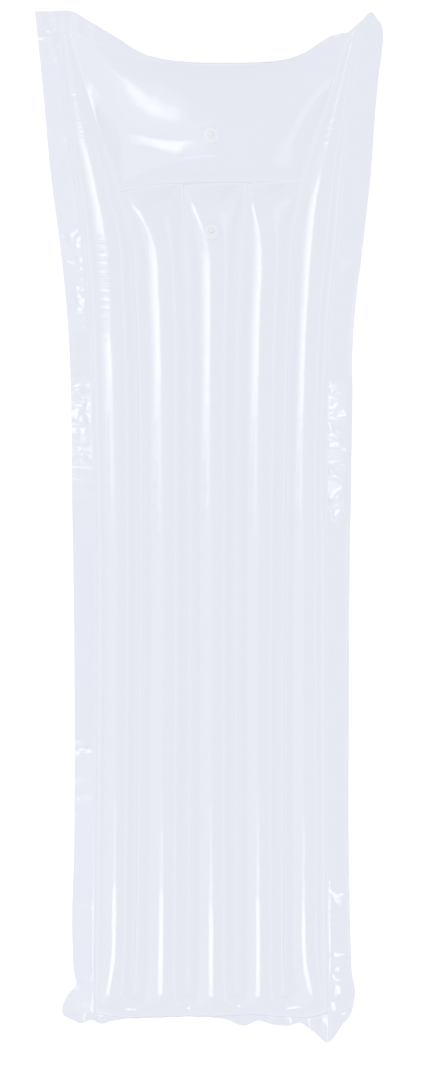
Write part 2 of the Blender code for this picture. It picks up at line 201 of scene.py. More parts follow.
film = {
    "tubes": 5,
    "flangeColumns": 12,  # faces across an edge flange, closer together at the weld
    "flangeCrowding": 1.3,
    "tubeColumns": 17,  # faces across a tube
    "tubeCrowding": 1.5,
    "pillowCrowding": 1.3,
    "leastFlange": 0.003,
    "flangeCuts": 1,  # how often a flange face is divided again along the mat
    "creaseCuts": 3,
    "ribCuts": 5,
    "seatCuts": 4,
    "seatMargin": 0.006,
    "footRows": 5,
    "topRows": 6,
    "finestRow": 0.0006,
    "rowGrowth": 0.0005,
    "bodyRow": 0.0075,  # longest face along the tubes, and their length
    "bodyLength": 1.445,
    "pillowRow": 0.0046,
    "pillowLength": 0.225,
    "spreadReach": 0.35,  # share of the pillow over which its columns spread out evenly
    "weldHalf": 0.0014,  # half the width of a weld line
    "seamDot": 0.0042,  # radius of the round end of a seam
    "wall": 0.00025,
    "weldGap": 0.00040,  # between the middles of the two films
    "weldTilt": 0.00022,  # how much higher a seam weld lies at one side
    "dullFrom": 0.60,  # the film is dull where its normal's upward part is less than this
    "glossFrom": 0.82,
    "steepPaintedLift": 0.15,  # how much paler the film is painted there, a painted lift that cancels the shade in the seams
    # how much paler the film is painted on the welds, the same painted lift against the shade there
    "weldPaintedLift": 0.5,
    "tubeRise": 0.915,  # height of a tube against a true circle
    "underRise": 1.02,
    "pillowHalf": 0.0600,
    "flatSize": (0.69, 1.83),
    "ground": 0.0002,
    "sharpAngle": 48,
}
level = {
    "body": 0.0384,
    "pillow": 0.0604,
    "riseStart": 0.430,
    "riseEnd": 0.700,
    "leftDroop": -0.0019,  # how far each edge flange hangs at its rim
    "leftFootDroop": 0.0036,
    "rightDroop": 0.0030,
    "footStart": 0.42,  # where the left one's foot end begins
    "footLength": 0.10,
    "headStart": 0.59,  # and the head end of both, where they hang more
    "headLength": 0.31,
    "leftHeadDroop": 0.3,
    "rightHeadDroop": 2.0,
    "footDroop": 0.012,
    "footCornerDroop": 0.004,
    "footWave": (0.0035, 0.030, 21),  # height, length, seed
    "topDroop": 0.014,
    "earDroop": 0.003,
    "topWave": (0.002, 0.028, 22),
    "topMiddle": 0.01,
}


def rowSteps(length, coarse):
    # shares along a stretch, close together at both ends
    steps = []
    step = film["finestRow"]
    while step < coarse and 2 * (sum(steps) + step) < length:
        steps.append(step)
        step += film["rowGrowth"]
    rest = length - 2 * sum(steps)
    count = max(int(rest / coarse), 1)
    steps = steps + [rest / count] * count + steps[::-1]
    return np.concatenate([[0], np.cumsum(steps)]) / length


def makeGrid():
    # places of the film's columns and rows, seen from above
    weldHalf = film["weldHalf"]
    tube, share = [], []
    for i in range(film["flangeColumns"] + 1):
        tube.append(-1)
        share.append((1 - i / film["flangeColumns"]) ** film["flangeCrowding"])
    for k in range(film["tubes"]):
        for i in range(film["tubeColumns"] + 1):
            tube.append(k)
            share.append(2 * i / film["tubeColumns"] - 1)
    for i in range(film["flangeColumns"] + 1):
        tube.append(film["tubes"])
        share.append((i / film["flangeColumns"]) ** film["flangeCrowding"])
    tube, share = np.array(tube), np.array(share)

    leftEdge, rightEdge = through(outline["leftEdge"]), through(outline["rightEdge"])
    welds = [through(points) for points in outline["longWelds"]]
    pillowSeam = through(outline["pillowSeam"])
    middle = np.where((tube >= 1) & (tube <= 3))[0]
    evenShare = np.zeros(len(tube))
    evenShare[middle] = np.linspace(-1, 1, len(middle))

    def weldLines(y):
        lines = np.array([weld(y) for weld in welds])
        seam = pillowSeam(0.0)
        first, last = lines[1], lines[4]
        for k in (2, 3):
            part = (welds[k](seam) - welds[1](seam)) / (welds[4](seam) - welds[1](seam))
            lines[k] = np.where(y > seam, mix(first, last, part), lines[k])
        return lines

    def across(y, spreadOut):
        # x of every column; spreadOut says how evenly the pillow's columns lie
        lines = weldLines(y)
        columns = np.arange(len(tube))
        k = np.clip(tube, 0, film["tubes"] - 1)
        low, high = lines[k, columns] + weldHalf, lines[k + 1, columns] - weldHalf
        x = mix(low, high, crowded(share, film["tubeCrowding"]))
        x = np.where(tube < 0, mix(lines[0] - weldHalf, leftEdge(y), share), x)
        x = np.where(tube >= film["tubes"], mix(lines[5] + weldHalf, rightEdge(y), share), x)
        even = mix(lines[1] + weldHalf, lines[4] - weldHalf, crowded(evenShare, film["pillowCrowding"]))
        inPillow = (tube >= 1) & (tube <= 3)
        return np.where(inPillow, mix(x, even, spreadOut), x)

    columns = len(tube)
    footX = across(np.full(columns, -0.852), 0.0)
    seamX = across(pillowSeam(np.linspace(-0.27, 0.27, columns)), 0.0)
    topX = across(np.full(columns, 0.850), 1.0)
    bounds = [
        through(outline["footEdge"])(footX),
        through(outline["footWeld"])(footX),
        pillowSeam(seamX),
        through(outline["topWeld"])(topX),
        through(outline["topEdge"])(topX),
    ]
    bounds[0] = np.minimum(bounds[0], bounds[1] - film["leastFlange"])
    bounds[4] = np.maximum(bounds[4], bounds[3] + film["leastFlange"])

    rows = []  # (lower bound, share, spread, kind)
    for i in range(film["footRows"]):
        rows.append((0, i / film["footRows"], 0.0, "foot"))
    rows += [(1, part, 0.0, "body") for part in rowSteps(film["bodyLength"], film["bodyRow"])]
    pillowShares = rowSteps(film["pillowLength"], film["pillowRow"])
    rows += [(2, part, float(ease(part / film["spreadReach"])), "pillow") for part in pillowShares]
    for i in range(1, film["topRows"] + 1):
        rows.append((3, i / film["topRows"], 1.0, "top"))
    x, y = [], []
    for lower, part, spread, kind in rows:
        low, high = bounds[lower].copy(), bounds[lower + 1].copy()
        if kind == "body":
            high = high - weldHalf
        if kind == "pillow":
            low = low + weldHalf
        y.append(mix(low, high, part))
        x.append(across(y[-1], spread))
    kinds = np.array([row[3] for row in rows])
    return np.array(x), np.array(y), tube, share, kinds, weldLines


gridX, gridY, gridTube, gridShare, rowKind, weldLines = makeGrid()
rowCount, columnCount = gridX.shape
print("film grid:", rowCount, "rows by", columnCount, "columns")


def openNodes():
    # True where the two films stand apart, False on every weld and flange
    isOpen = np.ones((rowCount, columnCount), bool)
    isOpen[:, (gridTube < 0) | (gridTube >= film["tubes"])] = False
    isOpen[(rowKind == "foot") | (rowKind == "top")] = False
    body, pillow = np.where(rowKind == "body")[0], np.where(rowKind == "pillow")[0]
    isOpen[body[0]] = False
    isOpen[pillow[-1]] = False
    isWeldColumn = np.abs(gridShare) == 1
    inTubes = (gridTube >= 0) & (gridTube < film["tubes"])
    ends = np.concatenate([[9.0], outline["seamEnds"], [9.0]])
    weldOf = np.where(gridShare > 0, gridTube + 1, gridTube)
    for column in np.where(isWeldColumn & inTubes)[0]:
        k = weldOf[column]
        if k in (0, film["tubes"]):
            isOpen[:, column] = False
            continue
        isOpen[body, column] &= gridY[body, column] < ends[k]
        if k in (1, 4):
            isOpen[pillow, column] = False
    middle = np.where((gridTube >= 1) & (gridTube <= 3))[0]
    isOpen[body[-1], middle] = False
    isOpen[pillow[0], middle] = False
    lines = weldLines(gridY.ravel()).reshape(6, rowCount, columnCount)
    for k in (1, 2, 3, 4):
        away = np.hypot(gridX - lines[k], gridY - ends[k])
        isOpen &= away > film["seamDot"]
    return isOpen


def inflate(isOpen):
    # the shape that air gives a skin welded down round its openings: a membrane under even load
    east = np.hypot(np.diff(gridX, axis=1), np.diff(gridY, axis=1))
    north = np.hypot(np.diff(gridX, axis=0), np.diff(gridY, axis=0))

    def gathered(east, north, start=1):
        # what each link brings to the points at its start and at its end
        total = np.zeros_like(gridX)
        total[:, :-1] += start * east
        total[:, 1:] += east
        total[:-1] += start * north
        total[1:] += north
        return total

    wide, tall = gathered(east / 2, 0), gathered(0, north / 2)
    flowEast = (tall[:, 1:] + tall[:, :-1]) / 2 / east
    flowNorth = (wide[1:] + wide[:-1]) / 2 / north

    def pull(rise):
        return gathered(flowEast * np.diff(rise, axis=1), flowNorth * np.diff(rise, axis=0), -1) * isOpen

    weight = gathered(flowEast, flowNorth)
    rise = np.zeros_like(gridX)
    error = wide * tall * isOpen
    change = error / weight
    direction = change.copy()
    before = (error * change).sum()
    start = before
    for _ in range(1500):
        pulled = pull(direction)
        length = before / (direction * pulled).sum()
        rise += length * direction
        error -= length * pulled
        change = error / weight
        after = (error * change).sum()
        if after < start * 1e-10:
            break
        direction = change + after / before * direction
        before = after
    return np.sqrt(2 * np.maximum(rise, 0))


plump = {
    "middle": 0.010,  # the pillow's ridge, across the mat
    "crest": 0.45,  # how far its crest lies towards its front, 1 at its very front
    "crestBow": 0.41,  # and how much further at its sides
    "bowMiddle": 0.10,
    "bowPower": 2.5,
    "fall": 0.44,  # how much the pillow falls off towards its sides
    "full": 0.39,  # and fills out again halfway
    "ridge": 0.08,  # how broad it is along the middle
    "arc": 0.52,  # 0 an ellipse, 1 an arc of a circle, from front to back
    "capReach": 0.160,  # length of the tubes' ends at the pillow
    "capLean": 0.93,  # how far their crests lean to the left, 1 into the corner
    "frontSlope": 3.4,
    "footReach": 0.12,
    "footLean": 0.45,
}


def leaning(share, lean):
    # moves the middle of -1 to 1 to -lean and keeps both ends
    return (share + lean) / (1 + share * lean)


def shapePillow(height):
    # the pillow's crest lies nearer its front, and it is rounder than a membrane
    rows, columns = np.where(rowKind == "pillow")[0], np.where((gridTube >= 1) & (gridTube <= 3))[0]
    block = np.ix_(rows, columns)
    load = height[block] ** 2
    part = gridY[block] - gridY[block][0]
    part = part / part[-1]
    for i, side in enumerate(np.linspace(-1, 1, len(columns))):
        lean = plump["crest"] + plump["crestBow"] * abs(side - plump["bowMiddle"]) ** plump["bowPower"]
        place = (leaning(part[:, i] * 2 - 1, lean) + 1) / 2
        load[:, i] = through(list(zip(part[:, i], load[:, i])))(place)
    load = np.maximum(load, 0)
    half = np.ptp(gridX[block]) / 2
    middle = gridX[block].min() + half + plump["middle"]
    side = (gridX[block] - middle) / half
    ridge = plump["ridge"]
    fall = (np.sqrt(side**2 + ridge**2) - ridge) / (np.sqrt(1 + ridge**2) - ridge)
    load = load * (1 - plump["fall"] * fall + plump["full"] * side**2 * (1 - side**2)) ** 2
    most = load.max()
    tall = film["pillowHalf"]
    flat = plump["arc"] * (most - tall**2) / (2 * tall)
    full = np.sqrt(load + flat**2) - flat
    full = full * tall / full.max()
    # the front rises no steeper than this from its seam
    front = plump["frontSlope"] * (gridY[block] - gridY[block][0]) + 1e-6
    height[block] = full / (1 + (full / front) ** 4) ** 0.25


def leanCaps(height):
    # the ends of the middle tubes, their crests leaning towards the left seam
    away = (outline["pillowSeam"][3][1] - gridY) / plump["capReach"]
    lean = np.clip(1 - away, 0, 1) ** 2.2 * plump["capLean"]
    for tube in (1, 2, 3):
        columns = np.where(gridTube == tube)[0]
        share = gridShare[columns]
        for row in np.where((rowKind == "body") & (lean[:, columns[0]] > 0))[0]:
            load = through(list(zip(share, height[row, columns] ** 2)))(leaning(share, lean[row, columns]))
            height[row, columns] = np.sqrt(np.maximum(load, 0))


def leanFeet(height):
    # at the foot the crests of the outer tubes lean outwards
    for tube, reach in ((0, -plump["footLean"]), (film["tubes"] - 1, plump["footLean"])):
        columns = np.where(gridTube == tube)[0]
        share = gridShare[columns]
        for row in np.where(rowKind == "body")[0]:
            away = (gridY[row, columns[0]] - outline["footWeld"][0][1]) / plump["footReach"]
            lean = reach * np.clip(1 - away, 0, 1) ** 1.6
            if lean != 0:
                height[row, columns] = np.interp(leaning(share, -lean), share, height[row, columns])


isOpen = openNodes()
halfHeight = inflate(isOpen)
leanCaps(halfHeight)
leanFeet(halfHeight)
halfHeight[rowKind == "body"] *= film["tubeRise"]
outer = np.where((gridTube < 1) | (gridTube > 3))[0]
halfHeight[np.ix_(rowKind == "pillow", outer)] *= film["tubeRise"]
shapePillow(halfHeight)
print("inflated: tubes", round(float(halfHeight[rowKind == "body"].max()) * 1000, 1), "mm half height")

# Flanges: the folds in them, and how far out of the weld each column lies
pleats = {
    # place along the mat, half length, height; listed by side
    "left": [(0.2406, 0.006, 0.0026), (0.2222, 0.004, -0.0018), (0.1860, 0.009, 0.0036),
             (0.1440, 0.008, -0.0030), (0.1180, 0.005, 0.0024), (0.0980, 0.009, 0.0030),
             (0.060, 0.010, -0.0015), (-0.66, 0.012, 0.0014), (-0.80, 0.010, -0.004)],
    "right": [(0.2350, 0.003, 0.0014), (0.2270, 0.003, 0.0016), (0.1899, 0.004, 0.0026),
              (0.1750, 0.007, -0.0028), (0.1420, 0.008, 0.0034), (0.1090, 0.005, -0.0024),
              (0.0880, 0.004, 0.0022), (0.0500, 0.018, 0.0030), (-0.1750, 0.013, 0.0020),
              (-0.640, 0.012, 0.0022), (-0.700, 0.014, -0.0030), (-0.745, 0.010, 0.0026),
              (-0.790, 0.010, 0.0040), (-0.822, 0.009, -0.0040)],
    # crumpled stretches of the edge flanges: from, to, rise of the rim, creases, their slope, seed
    "crumpled": {
        "left": [(0.085, 0.250, -0.0034, 22, 0.26, 1), (0.36, 0.44, -0.0015, 6, 0.20, 2),
                 (0.455, 0.52, -0.0015, 6, 0.20, 3), (-0.455, -0.385, -0.002, 5, 0.22, 4),
                 (-0.53, -0.50, 0, 3, 0.20, 5), (-0.84, -0.62, 0, 10, 0.12, 6), (0.80, 0.90, 0, 10, 0.30, 7)],
        "right": [(0.020, 0.255, 0.0115, 30, 0.30, 11), (0.445, 0.48, 0.0090, 4, 0.30, 12),
                  (-0.20, -0.15, 0.0020, 4, 0.25, 13), (-0.850, -0.620, 0.0034, 26, 0.28, 14),
                  (0.745, 0.895, 0.003, 14, 0.30, 15)],
    },
    "creaseHalf": (0.0030, 0.0075),
    "creaseReach": (0.008, 0.028),
    "flangeWidth": 0.036,
    # bumps of the edge weld: from, to, height, seed
    "beads": {
        "left": [(0.34, 0.86, 0.0009, 41)],
        "right": [(0.08, 0.36, 0.0014, 42), (-0.83, -0.60, 0.0014, 43)],
    },
    "beadPlace": 0.0030,
    "beadHalf": 0.0036,
    "beadLength": 0.013,
    "waveLength": 0.034,
    "waveHeight": 0.0006,
    "rimShare": 0.80,  # where the right flange's rim turns down
    "rimDrop": 0.0030,
    # ribs across the outer tubes beside their edge welds
    "ribLength": 0.0105,
    "ribHeight": 0.00080,
    "ribReach": (-0.94, 0.45),  # across the tube, its edge weld at -1
    "ribPlaces": {0: [(0.315, 0.520), (0.665, 0.765)], 4: [(0.640, 0.740)]},
}
leftOut = np.where(gridTube < 0, gridShare, 0.0)[None, :] * np.ones_like(gridY)
rightOut = np.where(gridTube >= film["tubes"], gridShare, 0.0)[None, :] * np.ones_like(gridY)


def ribShare():
    # 1 where ribs are, fading to 0 round them
    start, end = pleats["ribReach"]
    share = np.zeros_like(gridY)
    for tube, places in pleats["ribPlaces"].items():
        across = gridShare if tube == 0 else -gridShare
        near = ease((across - start + 0.08) / 0.08) * ease((end - across) / 0.25) * (gridTube == tube)
        for low, high in places:
            along = ease((gridY - low) / 0.03) * ease((high - gridY) / 0.03)
            share = share + near[None, :] * along
    return share


def crumple(out, y, low, high, lift, count, slope, seed):
    # straight creases of all directions over a stretch of flange that stands up or hangs a little
    draw = np.random.default_rng(seed)
    across = out * pleats["flangeWidth"]
    shift = lift * out * ease((y - low + 0.02) / 0.03) * ease((high + 0.02 - y) / 0.03)
    for _ in range(count):
        middle = (draw.uniform(0.004, pleats["flangeWidth"]), draw.uniform(low, high))
        turn = draw.uniform(-math.pi / 2, math.pi / 2)
        half, reach = draw.uniform(*pleats["creaseHalf"]), draw.uniform(*pleats["creaseReach"])
        rise = half * slope * draw.choice((-1, 1)) * draw.uniform(0.3, 1.0)
        along = (across - middle[0]) * math.cos(turn) + (y - middle[1]) * math.sin(turn)
        away = (y - middle[1]) * math.cos(turn) - (across - middle[0]) * math.sin(turn)
        tent = np.maximum(0, 1 - np.abs(away) / half) * ease(1.3 - 1.3 * np.abs(along) / reach)
        shift += rise * tent * ease(across / 0.005)
    return shift


def weldBeads(out, y, low, high, height, seed):
    # the bumpy line of the edge weld
    across = out * pleats["flangeWidth"]
    bump = np.maximum(0, 1 - np.abs(across - pleats["beadPlace"]) / pleats["beadHalf"]) * (out > 0)
    dash = np.clip(ripple(y, pleats["beadLength"], seed), 0, 1)
    return height * bump * dash * ease((y - low) / 0.02) * ease((high - y) / 0.02)


def foldShift(x, y, left, right, ribs):
    # how far folds and ribs lift the film at these places
    shift = np.zeros_like(y)
    for side, out, seed in (("left", left, 3), ("right", right, 4)):
        folds = np.zeros_like(y)
        for place, half, height in pleats[side]:
            lean = 0.12 * half * np.sin(40 * x)  # folds don't run quite square
            folds += height * np.maximum(0, 1 - np.abs(y - place - lean) / half)
        # the waves are strongest beside the upper tubes and at the foot
        calm = 0.20 + 0.80 * ease((y - 0.05) / 0.15) * ease((0.62 - y) / 0.3) + 0.6 * ease((-y - 0.72) / 0.1)
        folds += calm * pleats["waveHeight"] * ripple(y, pleats["waveLength"], seed)
        shift += folds * out**0.8
        for stretch in pleats["crumpled"][side]:
            shift += crumple(out, y, *stretch)
        for stretch in pleats["beads"][side]:
            shift += weldBeads(out, y, *stretch)
    rim = np.clip((right - pleats["rimShare"]) / (1 - pleats["rimShare"]), 0, 1)
    shift -= pleats["rimDrop"] * rim * (y < 0.5)
    shift += ribs * pleats["ribHeight"] * ripple(y + 0.1 * x, pleats["ribLength"], 31)
    return shift


def middleLevel():
    # height of the plane of the welds, and the droop of the flanges
    rise = ease((gridY - level["riseStart"]) / (level["riseEnd"] - level["riseStart"]))
    z = mix(level["body"], level["pillow"], rise)
    towardsHead = ease((gridY - level["headStart"]) / level["headLength"])
    towardsFoot = ease((-gridY - level["footStart"]) / level["footLength"])
    droop = mix(level["leftDroop"], level["leftFootDroop"], towardsFoot)
    z = z - droop * (1 + level["leftHeadDroop"] * towardsHead) * leftOut
    z = z - level["rightDroop"] * (1 + level["rightHeadDroop"] * towardsHead) * rightOut**1.5
    rows = np.arange(rowCount)[:, None]
    footOut = np.maximum(1 - rows / film["footRows"], 0)
    droop = mix(level["footDroop"], level["footCornerDroop"], ease((gridX - 0.02) / 0.06))
    droop = mix(droop, level["footCornerDroop"], ease((-gridX - 0.12) / 0.08))
    z = z - droop * footOut**1.2
    height, length, seed = level["footWave"]
    z = z + footOut * height * ripple(gridX, length, seed)
    topOut = np.maximum(rows + 1 + film["topRows"] - rowCount, 0) / film["topRows"]
    reach = np.abs(gridX - level["topMiddle"])
    droop = mix(level["topDroop"], level["earDroop"], ease((reach - 0.12) / 0.09))
    z = z - droop * topOut**0.8
    height, length, seed = level["topWave"]
    z = z + topOut * height * ripple(gridX, length, seed) * ease((reach - 0.09) / 0.06)
    return z


midZ = middleLevel()

# Valve seats in the bottom film, by valve: place along the mat, height of the film's outer face, sizes
seats = {}
for prefix in ("main_valve", "pillow_valve"):
    low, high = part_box(prefix + "_flange")
    seats[prefix] = {
        "y": (low.y + high.y) / 2,
        "face": low.z - 0.00055,  # film wall and gap under the weld flange
        "radius": (high.x - low.x) / 2,
        "hole": 0.0138,
        "weldRing": 0.0168,  # raised ring where the film is welded to the flange
        "ringHeight": 0.00015,
    }


def weldTilt():
    # seam welds lie a little askew, one side up, changing along the mat
    tilt = np.zeros_like(gridY)
    for k in range(1, film["tubes"]):
        sway = film["weldTilt"] * (0.75 + 0.45 * ripple(gridY, 0.20, 50 + k))
        tilt += sway * (((gridTube == k) & (gridShare == -1))[None, :] * 1.0)
        tilt -= sway * (((gridTube == k - 1) & (gridShare == 1))[None, :] * 1.0)
    return tilt


def filmSurface(side):
    height = halfHeight * (film["underRise"] if side < 0 else 1.0)
    return midZ + weldTilt() + side * (film["weldGap"] / 2 + height)


def weldNodes():
    # the share painted paler on the seams and the edge welds (0 elsewhere), a painted lift against the shade
    # there
    weld = ((np.abs(gridShare) == 1) & (gridTube >= 0) & (gridTube < film["tubes"]))[None, :] & ~isOpen
    body, head = np.where(rowKind == "body")[0], np.where(rowKind == "pillow")[0]
    inner = (leftOut[0] + rightOut[0]) == 0
    weld[(rowKind != "body") & (rowKind != "pillow")] = False
    for row in (body[0], body[-1], head[0], head[-1]):
        weld[row] |= inner & ~isOpen[row]
    return weld * film["weldPaintedLift"]


def seatShape(x, y, z):
    # the underside's film, flat round each valve and on the ground
    for seat in seats.values():
        away = np.hypot(x, y - seat["y"])
        pad = seat["face"] + film["wall"] / 2
        ring = ease(1 - np.abs(away - seat["weldRing"]) / 0.0018)
        pad = pad - seat["ringHeight"] * ring
        z = mix(pad, z, ease((away - seat["radius"] - 0.0015) / 0.020))
    return np.maximum(z, film["ground"] + film["wall"] / 2)


def applied(piece):
    # the piece with its modifiers applied
    graph = bpy.context.evaluated_depsgraph_get()
    mesh = bpy.data.meshes.new_from_object(piece.evaluated_get(graph))
    old = piece.data
    piece.modifiers.clear()
    piece.data = mesh
    bpy.data.meshes.remove(old)
    mesh.name = piece.name
    return piece


def divide(bm, edges, cuts):
    bmesh.ops.subdivide_edges(bm, edges=edges, cuts=cuts, use_grid_fill=True)


def makeFilm(name, side):
    bm = bmesh.new()
    bmesh.ops.create_grid(bm, x_segments=columnCount - 1, y_segments=rowCount - 1, size=0.5)
    if side < 0:
        bmesh.ops.reverse_faces(bm, faces=bm.faces[:])
    layers = ("left", "right", "rib", "outer", "weld")
    left, right, rib, outer, weld = [bm.verts.layers.float.new(layer) for layer in layers]
    z, ribs, isWeld = filmSurface(side), ribShare(), weldNodes()
    spot = {}
    for vert in bm.verts:
        column = round((vert.co.x + 0.5) * (columnCount - 1))
        row = round((vert.co.y + 0.5) * (rowCount - 1))
        vert.co = (gridX[row, column], gridY[row, column], z[row, column])
        vert[left], vert[right], vert[rib] = leftOut[row, column], rightOut[row, column], ribs[row, column]
        tube, share = gridTube[column], gridShare[column]
        flank = tube in (0, film["tubes"] - 1) and (share > 0) == (tube > 0)
        vert[outer] = ease((halfHeight[row, column] - 0.008) / 0.008) if side > 0 and flank else 0
        vert[weld] = isWeld[row, column]
        spot[vert] = column
    # finer faces where the film is folded, ribbed or welded to a valve
    lengthwise = [e for e in bm.edges if spot[e.verts[0]] == spot[e.verts[1]]]
    smooth, creased, ribbed = [], [], []
    for edge in lengthwise:
        vert = edge.verts[0]
        if vert[rib] + edge.verts[1][rib] > 0.001:
            ribbed.append(edge)
        elif vert[left] + vert[right] > 0:
            stretches = pleats["crumpled"]["left" if vert[left] > 0 else "right"]
            crumpled = any(low - 0.02 < vert.co.y < high + 0.02 for low, high, *_ in stretches)
            (creased if crumpled else smooth).append(edge)
    divide(bm, smooth, film["flangeCuts"])
    divide(bm, creased, film["creaseCuts"])
    divide(bm, ribbed, film["ribCuts"])
    if side < 0:
        for seat in seats.values():
            middle = Vector((0, seat["y"]))
            reach = seat["radius"] + film["seatMargin"]
            near = [e for e in bm.edges if all((v.co.xy - middle).length < reach for v in e.verts)]
            divide(bm, near, film["seatCuts"])
    place = np.array([vert.co for vert in bm.verts])
    outs = np.array([(vert[left], vert[right], vert[rib], vert[outer], vert[weld]) for vert in bm.verts])
    place[:, 2] += foldShift(place[:, 0], place[:, 1], outs[:, 0], outs[:, 1], outs[:, 2])
    if side < 0:
        place[:, 2] = seatShape(place[:, 0], place[:, 1], place[:, 2])
    piece = fromBmesh(name, bm)
    mesh = piece.data
    mesh.vertices.foreach_set("co", place.ravel())
    mesh.shade_smooth()
    # the film is dull where it turns steeply into a weld
    upward = np.ones(len(mesh.vertices))
    for face in mesh.polygons:
        for index in face.vertices:
            upward[index] = min(upward[index], abs(face.normal.z))
    gloss = ease((upward - film["dullFrom"]) / (film["glossFrom"] - film["dullFrom"]))
    # share of the plain tint; the rest is painted paler on steep flanks and welds, a painted lift that
    # cancels the shade in the seams
    thickOrUnlifted = np.minimum(1 - outs[:, 4], 1 - film["steepPaintedLift"] * (1 - gloss))
    mesh.attributes.new("gloss", "FLOAT", "POINT").data.foreach_set("value", np.maximum(gloss, outs[:, 3]))
    mesh.attributes.new("thickOrUnlifted", "FLOAT", "POINT").data.foreach_set("value", thickOrUnlifted)
    addWall(piece, film["wall"])
    cutters = []
    if side < 0:
        for prefix, seat in seats.items():
            bm = bmesh.new()
            bmesh.ops.create_cone(bm, cap_ends=True, segments=64, radius1=seat["hole"], radius2=seat["hole"],
                                  depth=0.004)
            bmesh.ops.translate(bm, verts=bm.verts[:], vec=(0, seat["y"], seat["face"]))
            cutters.append(fromBmesh(prefix + "Hole", bm))
            addBoolean(piece, "DIFFERENCE", cutters[-1])
    applied(piece)
    for cutter in cutters:
        bpy.data.objects.remove(cutter)
    for layer in layers:
        spare = piece.data.attributes.get(layer)
        if spare:
            piece.data.attributes.remove(spare)
    piece.data.set_sharp_from_angle(angle=math.radians(film["sharpAngle"]))
    triangles = sum(len(face.vertices) - 2 for face in piece.data.polygons)
    print(name, triangles, "triangles")
    return piece


def makeFilmMaterial(name, coatWeight, coatRoughness):
    look = {
        "color": (0.939, 0.952, 0.997),
        # paler colour painted on steep flanks and welds, a painted lift that cancels the shade in the seams
        "steepPaintedColor": (0.960, 0.972, 1.0),
        "index": 1.004,  # a film this thin hardly bends what is seen through it
        "roughness": 0.05,
        "rougher": 0.10,
        "coatIndex": 1.5,
        "waveScale": 14.0,
        "waveHeight": 0.0012,
        "grainScale": 900.0,
        "grainHeight": 0.00004,
    }
    material, nodes, links = newMaterial(name)
    shader = nodes["Principled BSDF"]
    shader.inputs["Transmission Weight"].default_value = 1.0
    shader.inputs["IOR"].default_value = look["index"]
    shader.inputs["Coat Roughness"].default_value = coatRoughness
    shader.inputs["Coat IOR"].default_value = look["coatIndex"]
    gloss = nodes.new("ShaderNodeAttribute")
    gloss.attribute_name = "gloss"
    coat = nodes.new("ShaderNodeMath")
    coat.operation = "MULTIPLY"
    coat.inputs[1].default_value = coatWeight
    links.new(gloss.outputs["Fac"], coat.inputs[0])
    links.new(coat.outputs[0], shader.inputs["Coat Weight"])
    # base colour: the plain tint, painted paler on steep flanks and welds to lift the shade there
    tint = nodes.new("ShaderNodeMix")
    tint.data_type = "RGBA"
    tint.inputs["A"].default_value = (*look["steepPaintedColor"], 1)
    tint.inputs["B"].default_value = (*look["color"], 1)
    thickOrUnlifted = nodes.new("ShaderNodeAttribute")
    thickOrUnlifted.attribute_name = "thickOrUnlifted"
    links.new(thickOrUnlifted.outputs["Fac"], tint.inputs["Factor"])
    links.new(tint.outputs["Result"], shader.inputs["Base Color"])
    # slow waves of the stretched film, and the fine grain of its surface
    wave, waveBump = addBump(nodes, links, look["waveScale"], look["waveHeight"])
    grain, grainBump = addBump(nodes, links, look["grainScale"], look["grainHeight"])
    links.new(waveBump.outputs["Normal"], grainBump.inputs["Normal"])
    links.new(grainBump.outputs["Normal"], shader.inputs["Normal"])
    links.new(grainBump.outputs["Normal"], shader.inputs["Coat Normal"])
    rough = nodes.new("ShaderNodeMapRange")
    rough.inputs["To Min"].default_value = look["roughness"]
    rough.inputs["To Max"].default_value = look["rougher"]
    links.new(wave.outputs["Fac"], rough.inputs["Value"])
    links.new(rough.outputs["Result"], shader.inputs["Roughness"])
    return material


topFilm = makeFilm("topFilm", 1)
bottomFilm = makeFilm("bottomFilm", -1)
# each with its gloss and how rough that is: less glossy underneath
films = (
    (topFilm, "top_sheet", "film_top", 1.0, 0.08),
    (bottomFilm, "bottom_sheet", "film_bottom", 0.4, 0.20),
)
for piece, node, slotName, coatWeight, coatRoughness in films:
    piece.data.materials.clear()
    piece.data.materials.append(makeFilmMaterial(piece.name + "Vinyl", coatWeight, coatRoughness))
    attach(piece, "mat")
    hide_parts(node)

# Valves: two alike, sunk in the underside. Heights go from the film's outer face into the mat
valve = {
    "steps": 72,
    "sharpAngle": 40,
    "flangeInner": 0.0132,
    "flangeOuter": 0.0190,
    "flangeLow": 0.00055,
    "flangeHigh": 0.00140,
    "flangeRidges": 3,
    "mouth": 0.0130,
    "cupWall": 0.0005,
    "cupStart": 0.0008,
    "cupDepth": 0.0107,
    "cupInner": 0.0063,
    "cupRings": 18,
    "neck": 0.0055,
    "bore": 0.0037,
    "rim": 0.0022,
    "foot": 0.0145,
    "collar": 0.0066,
    "lugEnd": 0.0092,
    "bandWidth": 0.0050,
    "cap": 0.0065,
    "capFace": 0.0005,
    "plugEnd": 0.0062,
    "tabEnd": 0.0093,
    "tabWidth": 0.0060,
    "flapRadius": 0.0047,
    "flapHinge": 0.0067,
    "flapWidth": 0.0040,
    "hinge": 0.0090,
}


def rounded(corners, steps=4):
    # an outline with rounded corners; each corner is (radius, height, rounding)
    line = []
    for i, (radius, height, rounding) in enumerate(corners):
        corner = Vector((radius, height))
        if rounding == 0:
            line.append(corner)
            continue
        before = (Vector(corners[i - 1][:2]) - corner).normalized() * rounding
        after = (Vector(corners[(i + 1) % len(corners)][:2]) - corner).normalized() * rounding
        for k in range(steps + 1):
            share = k / steps
            line.append(corner + before * (1 - share) ** 2 + after * share**2)
    return line


